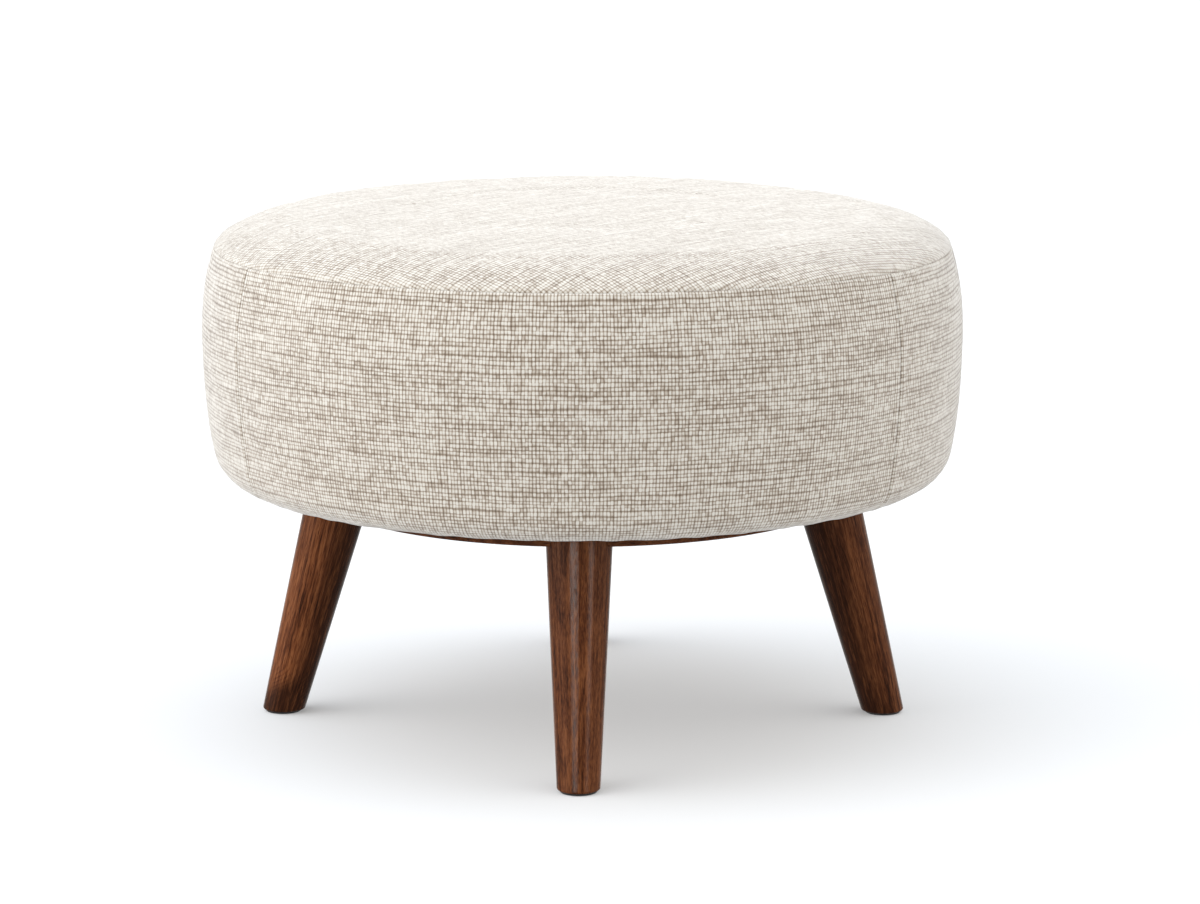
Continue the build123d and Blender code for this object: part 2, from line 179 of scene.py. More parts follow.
def plated_steel(name, bright, dull, roughness):
    material, tree, surface = new_finish(name)
    spangle = grain_noise(tree, placed(tree), scale=420.0, detail=2.0)
    set_inputs(tree, surface, {
        "Base Color": blend(tree, spangle, dull, bright),
        "Metallic": 1.0,
        "Roughness": calc(tree, "MULTIPLY_ADD", spangle, 0.25, roughness),
        "Normal": relief(tree, spangle, distance=0.00005),
    })
    return material


LEG_SIDES = ("front", "right", "rear", "left")
zinc = plated_steel("zinc_plated_steel", ZINC, ZINC_DULL, roughness=0.28)
for part in ("base_board_screws", "seat_board_screws"):
    paint(part, zinc)
for side in LEG_SIDES:
    paint(f"pronged_nut_{side}", zinc)


# Drum wrap: a strip of thin hardboard bent round the two boards, with its ends meeting at the back.
# It is stapled to the boards' edges with galvanised wire staples.
HARDBOARD = (0.22, 0.12, 0.06)
HARDBOARD_FLECK = (0.38, 0.24, 0.13)
WIRE = (0.66, 0.67, 0.68)
WIRE_DULL = (0.45, 0.45, 0.46)


def hardboard_finish():
    material, tree, surface = new_finish("hardboard")
    fibre = grain_noise(tree, placed(tree), scale=900.0, detail=4.0)
    cloud = grain_noise(tree, placed(tree), scale=30.0)
    mottled = calc(tree, "MULTIPLY_ADD", cloud, 0.3, calc(tree, "MULTIPLY", fibre, 0.7))
    set_inputs(tree, surface, {
        "Base Color": blend(tree, fade(tree, mottled, low=0.4, high=0.75), HARDBOARD, HARDBOARD_FLECK),
        "Roughness": 0.55,
        "Normal": relief(tree, fibre, distance=0.0001),
    })
    return material


paint("drum_wrap", hardboard_finish())
wire = plated_steel("galvanised_wire", WIRE, WIRE_DULL, roughness=0.3)
paint("drum_wrap_staples", wire)


# Foam: a slab glued on the seat board and a wrap glued round the drum, of cream upholstery foam.
# The slab is crowned and its upper edge rounded; the wrap bulges and is rounded off at its lower edge.
# The drum's outline is a chain of arcs, and every soft layer lies at its own depth inside it.
SEAT_RADIUS = 0.305
CROWN_TOP = 0.416
SHOULDER_WIDTH = 0.054
SHOULDER_FALL = 0.0064
EDGE_ROLL = 0.017
SEAM_RADIUS = 0.2948
SEAM_HEIGHT = 0.3865
WIDEST_HEIGHT = 0.3205
SIDE_RADIUS = 0.560
CORNER_RADIUS = 0.025
UNDERSIDE = 0.201


def drum_outline():
    """Two chains of arcs, over the top and down the side; each arc is tangent to the next.

    An arc is its centre's radius and height, its own radius, its first angle and its last angle.
    """
    inset = SEAT_RADIUS - SEAM_RADIUS
    drop = SEAM_HEIGHT - WIDEST_HEIGHT
    upper = (drop ** 2 + inset ** 2) / (2 * inset)
    seam_angle = asin(drop / upper)
    roll_r = SEAM_RADIUS - EDGE_ROLL * cos(seam_angle)
    roll_z = SEAM_HEIGHT - EDGE_ROLL * sin(seam_angle)
    crown_r = SEAM_RADIUS - SHOULDER_WIDTH
    crown_z = CROWN_TOP - SHOULDER_FALL
    crown = (crown_r ** 2 + SHOULDER_FALL ** 2) / (2 * SHOULDER_FALL)
    crown_angle = acos(crown_r / crown)
    across, up = crown_r - roll_r, crown_z - roll_z
    reach = across * cos(crown_angle) + up * sin(crown_angle)
    shoulder = (across ** 2 + up ** 2 - EDGE_ROLL ** 2) / (2 * (reach - EDGE_ROLL))
    shoulder_r = crown_r - shoulder * cos(crown_angle)
    shoulder_z = crown_z - shoulder * sin(crown_angle)
    roll_angle = atan2(roll_z - shoulder_z, roll_r - shoulder_r)
    lower_r = SEAT_RADIUS - SIDE_RADIUS
    corner_z = UNDERSIDE + CORNER_RADIUS
    corner_r = lower_r + sqrt((SIDE_RADIUS - CORNER_RADIUS) ** 2 - (WIDEST_HEIGHT - corner_z) ** 2)
    corner_angle = atan2(corner_z - WIDEST_HEIGHT, corner_r - lower_r)
    over_top = (
        (0.0, CROWN_TOP - crown, crown, pi / 2, crown_angle),
        (shoulder_r, shoulder_z, shoulder, crown_angle, roll_angle),
        (roll_r, roll_z, EDGE_ROLL, roll_angle, seam_angle),
    )
    down_side = (
        (SEAT_RADIUS - upper, WIDEST_HEIGHT, upper, seam_angle, 0.0),
        (lower_r, WIDEST_HEIGHT, SIDE_RADIUS, 0.0, corner_angle),
        (corner_r, corner_z, CORNER_RADIUS, corner_angle, -pi / 2),
    )
    return over_top, down_side


TOP_ARCS, SIDE_ARCS = drum_outline()
ALL_ARCS = TOP_ARCS + SIDE_ARCS


def run_length(arcs, depth=0.0):
    """Length along a chain of arcs, a depth below the outline."""
    return sum((arc[2] - depth) * (arc[3] - arc[4]) for arc in arcs)


def outline_point(arcs, run, depth=0.0):
    """Radius, height and outward direction at a run along the arcs, a depth below the outline."""
    for arc in arcs:
        length = run_length([arc])
        if run <= length or arc is arcs[-1]:
            angle = arc[3] - run / arc[2]
            reach = arc[2] - depth
            return arc[0] + reach * cos(angle), arc[1] + reach * sin(angle), cos(angle), sin(angle)
        run -= length


LAYER_STEP = 0.006


def layer_line(arcs, depth, first=0.0, spare=0.0):
    """Points (radius, height) along the chain of arcs at a depth, a small step apart.

    The line starts at the first run and stops the spare length before the end.
    """
    total = run_length(arcs) - first - spare
    count = round(total / LAYER_STEP)
    return [outline_point(arcs, first + total * i / count, depth)[:2] for i in range(count + 1)]


TOUCHING = 1e-6


def turned_body(section, steps):
    """Spins a closed section of (radius, height) points once round the stool's axis."""
    shape = bmesh.new()
    corners = [shape.verts.new((r, 0.0, z)) for r, z in section]
    edges = [shape.edges.new((a, b)) for a, b in zip(corners, corners[1:] + corners[:1])]
    edges = [e for e in edges if max(v.co.x for v in e.verts) > TOUCHING]
    bmesh.ops.spin(
        shape, geom=corners + edges, axis=(0, 0, 1), angle=2 * pi, steps=steps, use_merge=True
    )
    bmesh.ops.remove_doubles(shape, verts=shape.verts, dist=TOUCHING)
    loose = [e for e in shape.edges if not e.link_faces]
    bmesh.ops.delete(shape, geom=loose, context="EDGES")
    bmesh.ops.recalc_face_normals(shape, faces=shape.faces)
    return shape


def finished_piece(name, shape, material):
    """Turns a bmesh into a smooth-shaded object in the scene, riding on the stool's one body."""
    mesh = bpy.data.meshes.new(name)
    shape.to_mesh(mesh)
    shape.free()
    mesh.shade_smooth()
    mesh.materials.append(material)
    piece = bpy.data.objects.new(name, mesh)
    bpy.context.scene.collection.objects.link(piece)
    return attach(piece, "root")


FOAM_CREAM = (0.74, 0.66, 0.44)
FOAM_PALE = (0.86, 0.80, 0.62)


def cut_foam():
    material, tree, surface = new_finish("cut_foam")
    cells = add_node(tree, "TexVoronoi", {"Vector": placed(tree), "Scale": 700.0}).outputs["Distance"]
    cloud = grain_noise(tree, placed(tree), scale=25.0)
    set_inputs(tree, surface, {
        "Base Color": blend(tree, calc(tree, "MULTIPLY", cells, cloud), FOAM_PALE, FOAM_CREAM),
        "Roughness": 0.95,
        "Normal": relief(tree, cells, distance=0.0006),
    })
    return material


CLOTH = 0.0012
WADDING = 0.005
LAYER_GAP = 0.0004
SEAT_BOARD_TOP = 0.340
WRAP_SETBACK = 0.0015
FOAM_CLEAR_OF_JOINT = 0.003
SLAB_FOOT_OUT = 0.0008
WRAP_HEAD_IN = 0.0006
FOAM_TURNS = 180
foam = cut_foam()
foam_depth = CLOTH + WADDING + LAYER_GAP
body_line = layer_line(ALL_ARCS, foam_depth)
slab_line = [point for point in body_line if point[1] > SEAT_BOARD_TOP + FOAM_CLEAR_OF_JOINT]
slab_edge = slab_line[-1][0] + SLAB_FOOT_OUT
slab_section = slab_line + [(slab_edge, SEAT_BOARD_TOP + LAYER_GAP), (0.0, SEAT_BOARD_TOP + LAYER_GAP)]
seat_foam = finished_piece("seat_foam_slab", turned_body(slab_section, FOAM_TURNS), foam)
wrap_line = [point for point in body_line if point[1] < SEAT_BOARD_TOP - FOAM_CLEAR_OF_JOINT]
wrap_edge = wrap_line[0][0] - WRAP_HEAD_IN
wrap_inside = SIDE_ARCS[-1][0] - WRAP_SETBACK + LAYER_GAP
wrap_section = [(wrap_inside, SEAT_BOARD_TOP - LAYER_GAP), (wrap_edge, SEAT_BOARD_TOP - LAYER_GAP)]
wrap_section += wrap_line + [(wrap_inside, wrap_line[-1][1])]
side_foam = finished_piece("side_foam_wrap", turned_body(wrap_section, FOAM_TURNS), foam)
for piece, node_name in ((seat_foam, "seat_foam"), (side_foam, "side_foam")):
    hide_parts(node_name)


# Wadding: white polyester fibre laid over the foam, a round on the seat and a strip round the side.
# It softens the foam's edges under the cloth, is held only by the cover stretched over it, and is
# pressed in below the cover's seams.
FIBRE_WHITE = (0.86, 0.86, 0.84)
FIBRE_SHADE = (0.66, 0.66, 0.64)
WADDING_GAP = 0.0017


def fibre_wadding():
    material, tree, surface = new_finish("fibre_wadding")
    strands = grain_noise(tree, placed(tree), scale=260.0, detail=6.0, roughness=0.7)
    set_inputs(tree, surface, {
        "Base Color": blend(tree, fade(tree, strands, low=0.3, high=0.7), FIBRE_SHADE, FIBRE_WHITE),
        "Roughness": 1.0,
        "Sheen Weight": 0.4,
        "Sheen Roughness": 0.6,
        "Normal": relief(tree, strands, distance=0.0008),
    })
    return material


def bearing_of(place):
    """Angle round the stool, from the front towards the right."""
    return atan2(place.x, -place.y)


SEAM_LIFT = 0.0046
top_run = run_length(TOP_ARCS)


def seam_lift(place):
    """How much higher on the outline the round seam lies than at the sides; most at the front."""
    return SEAM_LIFT * max(0.0, cos(bearing_of(place))) ** 2


SIDE_SEAMS = (-60.0, 53.5, 177.0)


def from_seams(place):
    """Distance from the nearest sewn line: the round top seam or one of the upright side seams."""
    radius = hypot(place.x, place.y)
    seam_r, seam_z, _, _ = outline_point(TOP_ARCS, top_run - seam_lift(place))
    nearest = hypot(radius - seam_r, place.z - seam_z)
    if place.z < seam_z:
        for seam in SIDE_SEAMS:
            turned = (bearing_of(place) - radians(seam) + pi) % (2 * pi) - pi
            nearest = min(nearest, abs(turned) * radius)
    return nearest


ON_AXIS = 1e-9


def outward(r_part, z_part, place):
    """The direction with an outward and an upward part, at a place round the stool."""
    flat = hypot(place.x, place.y)
    if flat < ON_AXIS:
        return Vector((0.0, 0.0, 1.0))
    return Vector((r_part * place.x / flat, r_part * place.y / flat, z_part))


WADDING_TURNS = 360
WADDING_DIP = 0.0018
WADDING_DIP_REACH = 0.010


def wadding_layer(name, outside, inside, facing):
    """A layer between two lines; the face that looks the facing way dips below the seams."""
    shape = turned_body(outside + inside[::-1], WADDING_TURNS)
    shape.normal_update()
    for point in shape.verts:
        if point.normal.dot(outward(*facing, point.co)) > 0.0:
            near_seam = exp(-((from_seams(point.co) / WADDING_DIP_REACH) ** 2))
            point.co -= point.normal * WADDING_DIP * near_seam
    piece = finished_piece(name, shape, wadding)
    return piece


wadding = fibre_wadding()
outer_depth = CLOTH + WADDING_GAP
inner_depth = CLOTH + WADDING
wadding_top = wadding_layer(
    "seat_wadding",
    layer_line(TOP_ARCS, outer_depth, spare=LAYER_GAP),
    layer_line(TOP_ARCS, inner_depth, spare=LAYER_GAP),
    facing=(0.3, 1.0),
)
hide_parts("wadding_top")
top_round = run_length(TOP_ARCS, outer_depth)
strip_outside = layer_line(SIDE_ARCS, outer_depth, first=LAYER_GAP)
strip_inside = layer_line(SIDE_ARCS, inner_depth, first=LAYER_GAP)
wadding_side = wadding_layer(
    "side_wadding",
    strip_outside + [(wrap_inside, strip_outside[-1][1])],
    strip_inside + [(wrap_inside, strip_inside[-1][1])],
    facing=(1.0, -0.3),
)
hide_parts("wadding_side")


# Cover cloth: a coarse, even plain weave of undyed linen-look yarn, cream threads with brown-grey gaps.
# The gaps, the threads' edges and each thread where it dips under another are darkened further as painted
# shade of the weave's relief.
# The yarn is uneven, so single threads thicken, thin out and show as streaks, longest along the weft.
WARP_PITCH = 0.00265
WEFT_PITCH = 0.00312
YARN_CREAM = (0.513, 0.485, 0.437)
YARN_TAN = (0.326, 0.280, 0.227)
YARN_SHADE = (0.155, 0.116, 0.083)
GAP_BROWN = (0.075, 0.050, 0.033)
WARP_GAP_LIGHT = 0.24
WEFT_GAP_LIGHT = 0.35
HALF_WIDTH = 0.46
THREAD_DRIFT = 0.0014
WEFT_CROWDING = 0.0040
CROWDING_LENGTHWAYS = 0.09
SLUB_SPREAD = 3.71
THREAD_WAVE = 0.25
CROSSING_SHARE = 0.30
YARN_BASE = 0.82
YARN_FUZZ = 0.34
YARN_STREAK = 0.32
CROSSING_CHANCE = 0.34


def graduated(tree, value, stops):
    """A colour that runs through the stops (place, colour) as the value rises."""
    node = add_node(tree, "ValToRGB", {0: value})
    elements = node.color_ramp.elements
    for element, (place, colour) in zip(elements, (stops[0], stops[-1])):
        element.position = place
        element.color = (*colour, 1.0)
    for place, colour in stops[1:-1]:
        elements.new(place).color = (*colour, 1.0)
    return node.outputs[0]


def cover_cloth():
    material, tree, surface = new_finish("cover_cloth")
    plain = add_node(tree, "UVMap", {}, uv_map="weave").outputs[0]
    drift = add_node(tree, "TexNoise", {"Vector": plain, "Scale": 55.0, "Detail": 3.0}).outputs["Color"]
    either_way = {0: drift, 1: (0.5, 0.5, 0.5)}
    drift = add_node(tree, "VectorMath", either_way, operation="SUBTRACT").outputs[0]
    most = (THREAD_DRIFT, THREAD_DRIFT, 0.0)
    drift = add_node(tree, "VectorMath", {0: drift, 1: most}, operation="MULTIPLY").outputs[0]
    place = add_node(tree, "VectorMath", {0: plain, 1: drift}).outputs[0]
    along, down, _ = add_node(tree, "SeparateXYZ", {0: place}).outputs
    stretch = (CROWDING_LENGTHWAYS, 1.0, 1.0)
    long_way = add_node(tree, "VectorMath", {0: plain, 1: stretch}, operation="MULTIPLY").outputs[0]
    crowding = calc(tree, "SUBTRACT", grain_noise(tree, long_way, scale=95.0, detail=1.0), 0.5)
    down = calc(tree, "MULTIPLY_ADD", crowding, WEFT_CROWDING, down)

    def threads(across, length, pitch, seed, slub_length, swing, stray, own_stray, own_share):
        """A thread's number, the distance from its middle, its half width and its own lightness."""
        count = calc(tree, "DIVIDE", across, pitch)
        number = calc(tree, "FLOOR", count)
        seeded = calc(tree, "ADD", number, seed)
        own = add_node(tree, "TexWhiteNoise", {"W": seeded}, noise_dimensions="1D")
        own_light, own_place = own.outputs["Value"], own.outputs["Color"]
        spot = add_node(tree, "CombineXYZ", {
            0: calc(tree, "DIVIDE", length, slub_length),
            1: calc(tree, "MULTIPLY", number, SLUB_SPREAD),
            2: seed,
        }).outputs[0]
        wander = add_node(tree, "TexNoise", {"Vector": spot, "Scale": 1.0, "Detail": 2.0}).outputs
        slub = fade(tree, wander[0], low=0.25, high=0.75)
        aside = add_node(tree, "SeparateColor", {0: wander["Color"]}).outputs[1]
        own_aside = add_node(tree, "SeparateColor", {0: own_place}).outputs[2]
        aside = calc(tree, "MULTIPLY", calc(tree, "SUBTRACT", aside, 0.5), stray)
        aside = calc(tree, "MULTIPLY_ADD", calc(tree, "SUBTRACT", own_aside, 0.5), own_stray, aside)
        offset = calc(tree, "SUBTRACT", calc(tree, "FRACT", count), calc(tree, "ADD", aside, 0.5))
        lightness = calc(tree, "MULTIPLY", slub, 1.0 - own_share)
        lightness = calc(tree, "MULTIPLY_ADD", own_light, own_share, lightness)
        width = calc(tree, "MULTIPLY_ADD", lightness, swing, HALF_WIDTH - swing / 2)
        return number, offset, width, lightness

    warp_number, warp_offset, warp_width, warp_light = threads(
        along, down, WARP_PITCH, seed=11.3, slub_length=0.006,
        swing=0.16, stray=0.50, own_stray=0.12, own_share=0.10,
    )
    weft_number, weft_offset, weft_width, weft_light = threads(
        down, along, WEFT_PITCH, seed=57.9, slub_length=0.050,
        swing=0.20, stray=0.60, own_stray=0.12, own_share=0.12,
    )
    crossing_number = calc(tree, "ABSOLUTE", calc(tree, "ADD", warp_number, weft_number))
    parity = calc(tree, "MODULO", crossing_number, 2.0)
    over = calc(tree, "MULTIPLY_ADD", parity, 2.0, -1.0)
    under = calc(tree, "MULTIPLY", over, -1.0)

    def thread_rise(offset, width):
        """Round across the thread: 1 on its middle, 0 in the gaps beside it."""
        share = calc(tree, "DIVIDE", calc(tree, "ABSOLUTE", offset), width)
        fallen = calc(tree, "MULTIPLY", share, share)
        return calc(tree, "SQRT", calc(tree, "SUBTRACT", 1.0, fallen, clamp=True))

    def waved(rise, cross_offset, side):
        """A thread's height, as it goes over and under the threads across it."""
        wave = calc(tree, "COSINE", calc(tree, "MULTIPLY", cross_offset, pi))
        wave = calc(tree, "MULTIPLY", wave, side)
        level = calc(tree, "MULTIPLY_ADD", wave, THREAD_WAVE, 1.0 - THREAD_WAVE)
        return calc(tree, "MULTIPLY", rise, level)

    warp_rise = thread_rise(warp_offset, warp_width)
    weft_rise = thread_rise(weft_offset, weft_width)
    warp_height = waved(warp_rise, weft_offset, over)
    weft_height = waved(weft_rise, warp_offset, under)
    height = calc(tree, "MAXIMUM", warp_height, weft_height)
    warp_above = calc(tree, "GREATER_THAN", warp_height, weft_height)
    lighter = calc(tree, "SUBTRACT", warp_light, weft_light)
    lightness = calc(tree, "MULTIPLY_ADD", lighter, warp_above, weft_light)
    # Painted shade of the weave's relief: the tone falls towards the gaps, the threads' edges and where a
    # thread dips under, on top of the gaps' own brown-grey.
    warp_closed = calc(tree, "MULTIPLY_ADD", warp_rise, 1.0 - WARP_GAP_LIGHT, WARP_GAP_LIGHT)
    weft_closed = calc(tree, "MULTIPLY_ADD", weft_rise, 1.0 - WEFT_GAP_LIGHT, WEFT_GAP_LIGHT)
    closed = calc(tree, "MULTIPLY", warp_closed, weft_closed)
    closed = calc(tree, "MULTIPLY_ADD", calc(tree, "SUBTRACT", height, closed), CROSSING_SHARE, closed)
    crossing = add_node(tree, "CombineXYZ", {0: warp_number, 1: weft_number}).outputs[0]
    own = add_node(tree, "TexWhiteNoise", {"Vector": crossing}, noise_dimensions="2D").outputs["Value"]
    fuzz = grain_noise(tree, plain, scale=2600.0, detail=2.0)
    shade = calc(tree, "MULTIPLY_ADD", calc(tree, "SUBTRACT", fuzz, 0.5), YARN_FUZZ, YARN_BASE)
    shade = calc(tree, "MULTIPLY_ADD", lightness, YARN_STREAK, shade)
    shade = calc(tree, "MULTIPLY_ADD", calc(tree, "SUBTRACT", own, 0.5), CROSSING_CHANCE, shade)
    tone = calc(tree, "MULTIPLY", closed, shade, clamp=True)
    # Painted highlight: the weave is lightened towards white where the top panel rolls into the seam.
    roll_highlight = add_node(tree, "Attribute", {}, attribute_name="roll_highlight").outputs["Fac"]
    tone = calc(tree, "MULTIPLY_ADD", calc(tree, "SUBTRACT", 1.0, tone), roll_highlight, tone)
    colour = graduated(
        tree, tone, ((0.0, GAP_BROWN), (0.30, YARN_SHADE), (0.62, YARN_TAN), (0.95, YARN_CREAM))
    )
    set_inputs(tree, surface, {
        "Base Color": colour,
        "Roughness": 0.92,
        "Specular IOR Level": 0.12,
        "Sheen Weight": 0.45,
        "Sheen Roughness": 0.5,
        "Normal": relief(tree, height, distance=0.0006, strength=0.6),
    })
    return material


linen = cover_cloth()


# Cover panels: a round top panel sewn to three side panels, pulled down over the padding.
# The seams are plain, pressed open inside, so each shows as a narrow valley with no piping or stitches.
# The side panels turn in under the drum, where the spare cloth gathers into small pleats.
HEM_RADIUS = 0.2228
WEAVE_RADIUS = SEAT_RADIUS
side_run = run_length(SIDE_ARCS)
hem_run = SIDE_ARCS[-1][0] - HEM_RADIUS


def graded(total, fine, coarse, growth=1.28, both=False):
    """Places from 0 to total, close together at 0 and coarser further on, or close at both ends."""
    half = total / 2 if both else total
    places, step = [0.0], fine
    while places[-1] + step < half - step / 2:
        places.append(places[-1] + step)
        step = min(step * growth, coarse)
    if both:
        return places + [half] + [total - p for p in reversed(places)]
    return places + [total]


SEAM_HALF_WIDTH = 0.0009
SEAM_VALLEY = 0.0004
SEAM_SHOULDER = 0.0003
SEAM_SHOULDER_PLACE = 0.0036
SEAM_SHOULDER_WIDTH = 0.003


def seam_shape(distance):
    """How far the cloth stands out near a seam: a valley on the seam, a soft shoulder beside it."""
    valley = SEAM_VALLEY * exp(-((distance / SEAM_HALF_WIDTH) ** 2))
    shoulder = SEAM_SHOULDER * exp(-(((distance - SEAM_SHOULDER_PLACE) / SEAM_SHOULDER_WIDTH) ** 2))
    return shoulder - valley


PADDING_BROAD = 0.0009
BROAD_PER_METRE = 11.0
PADDING_SMALL = 0.00045
SMALL_PER_METRE = 31.0
SMALL_SHIFT = Vector((7.0, 3.0, 5.0))


def unevenness(place):
    """Slow, shallow hollows and swellings of padding under the cloth."""
    broad = noise.noise(place * BROAD_PER_METRE)
    small = noise.noise(place * SMALL_PER_METRE + SMALL_SHIFT)
    return PADDING_BROAD * broad + PADDING_SMALL * small


GATHER_HEIGHT = 0.0005
GATHERS_PER_METRE = 62.0
GATHER_SHIFT = Vector((1.0, 9.0, 4.0))
GATHER_REACH = 0.016
GATHER_START = 0.004


def pucker(run, place):
    """Shallow gathers where the round seam eases the cloth in, dying away from the seam."""
    wave = noise.noise(place * GATHERS_PER_METRE + GATHER_SHIFT)
    return GATHER_HEIGHT * wave * exp(-((run / GATHER_REACH) ** 2)) * min(1.0, run / GATHER_START)


SEAM_PULL = 0.0003
SEAM_PULL_REACH = 0.014


def seam_pull(place):
    """How far the cover is drawn in by its seams at a place."""
    return SEAM_PULL * exp(-((from_seams(place) / SEAM_PULL_REACH) ** 2))


SKIN_TURNS = 200
SKIN_FOOT = 0.001
SKIN_VOXEL = 0.006


def sewn_drum():
    """A closed skin over the padding, drawn in along the seams and remeshed evenly."""
    line = layer_line(ALL_ARCS, 0.0) + [(HEM_RADIUS, UNDERSIDE), (0.0, UNDERSIDE)]
    shape = turned_body(line, SKIN_TURNS)
    shape.normal_update()
    for point in shape.verts:
        if point.co.z > UNDERSIDE + SKIN_FOOT:
            point.co -= point.normal * seam_pull(point.co)
    mesh = bpy.data.meshes.new("drum_skin")
    shape.to_mesh(mesh)
    shape.free()
    skin = bpy.data.objects.new("drum_skin", mesh)
    bpy.context.scene.collection.objects.link(skin)
    remesh = skin.modifiers.new("even faces", "REMESH")
    remesh.mode = "VOXEL"
    remesh.voxel_size = SKIN_VOXEL
    remeshed = skin.evaluated_get(bpy.context.evaluated_depsgraph_get())
    even = bpy.data.meshes.new_from_object(remeshed)
    skin.modifiers.clear()
    skin.data = even
    return skin


SKIN_HELD = 0.004
SWELL_QUALITY = 6
SWELL_PRESSURE = 4.0
SWELL_FRAMES = 20


def swollen_drum():
    """Lets the skin swell like a filled cover held at its seams and underside.

    Gives the skin's surface before and after.
    """
    skin = sewn_drum()
    before = BVHTree.FromObject(skin, bpy.context.evaluated_depsgraph_get())
    sewn = skin.vertex_groups.new(name="sewn")
    for point in skin.data.vertices:
        if point.co.z < UNDERSIDE + SKIN_HELD or from_seams(point.co) < SKIN_VOXEL:
            sewn.add([point.index], 1.0, "REPLACE")
    cloth = skin.modifiers.new("cover", "CLOTH")
    cloth.settings.quality = SWELL_QUALITY
    cloth.settings.vertex_group_mass = "sewn"
    cloth.settings.use_pressure = True
    cloth.settings.uniform_pressure_force = SWELL_PRESSURE
    cloth.settings.effector_weights.gravity = 0.0
    cloth.collision_settings.use_collision = False
    cloth.point_cache.frame_start = 1
    cloth.point_cache.frame_end = SWELL_FRAMES
    for step in range(1, SWELL_FRAMES + 1):
        bpy.context.scene.frame_set(step)
    after = BVHTree.FromObject(skin, bpy.context.evaluated_depsgraph_get())
    bpy.data.objects.remove(skin)
    bpy.context.scene.frame_set(1)
    return before, after


SKIN_SEARCH = (0.012, 0.030)
SWELL_CAP = 0.0008


def swell(place, direction):
    """How far the skin swells out at a place, eased off towards the cap."""
    above, depth = SKIN_SEARCH
    hits = [skin.ray_cast(place + direction * above, -direction, depth)[0] for skin in skins]
    if not hits or None in hits:
        return 0.0
    return SWELL_CAP * tanh((hits[1] - hits[0]).dot(direction) / SWELL_CAP)


SAME_STEP = 1e-9
TURNS_TOUCHING = 2e-5


def spun_cloth(line, turns, closed):
    """Spins a line of (radius, height, run) points through uneven turns; each vertex keeps its run."""
    shape = bmesh.new()
    run_layer = shape.verts.layers.float.new("run")
    points = []
    for r, z, run in line:
        point = shape.verts.new((r, 0.0, z))
        point[run_layer] = run
        points.append(point)
    last = points + [shape.edges.new(pair) for pair in zip(points, points[1:])]
    steps = [after - before for before, after in zip(turns, turns[1:])]
    while steps:
        unlike = (i for i, step in enumerate(steps) if abs(step - steps[0]) > SAME_STEP)
        count = next(unlike, len(steps))
        last = bmesh.ops.spin(
            shape, geom=last, axis=(0, 0, 1), angle=steps[0] * count, steps=count, use_merge=closed
        )["geom_last"]
        steps = steps[count:]
    bmesh.ops.rotate(shape, verts=shape.verts, matrix=Matrix.Rotation(turns[0] - pi / 2, 4, "Z"))
    if closed:
        bmesh.ops.remove_doubles(shape, verts=shape.verts, dist=TURNS_TOUCHING)
    bmesh.ops.recalc_face_normals(shape, faces=shape.faces)
    return shape, run_layer


def weave_map(shape, mapped, roll_highlight):
    """Lays the weave's map on the cloth, in metres, and marks where a painted highlight lightens the
    weave along the seam's rolled edge.
    """
    mark = shape.verts.layers.float.new("roll_highlight")
    for point in shape.verts:
        point[mark] = roll_highlight(point)
    layer = shape.loops.layers.uv.new("weave")
    for face in shape.faces:
        for loop in face.loops:
            loop[layer].uv = mapped(loop.vert)


skins = swollen_drum()


def cloth_thickness(piece):
    wall = piece.modifiers.new("cloth thickness", "SOLIDIFY")
    wall.thickness = CLOTH
    wall.offset = -1.0


TOP_STEPS = 480
TOP_WEAVE_ANGLE = radians(45.0)
PADDING_EASE = 0.03
# The top panel's painted highlight along its rolled edge above the seam: its strength, place, width and
# unevenness.
SEAM_ROLL_HIGHLIGHT = 0.40
ROLL_HIGHLIGHT_PLACE = 0.0022
ROLL_HIGHLIGHT_WIDTH = 0.0030
ROLL_HIGHLIGHT_BASE = 0.7
ROLL_HIGHLIGHT_SWING = 0.6
ROLL_HIGHLIGHT_PER_METRE = 45.0
ROLL_HIGHLIGHT_FRONTAL = 0.6


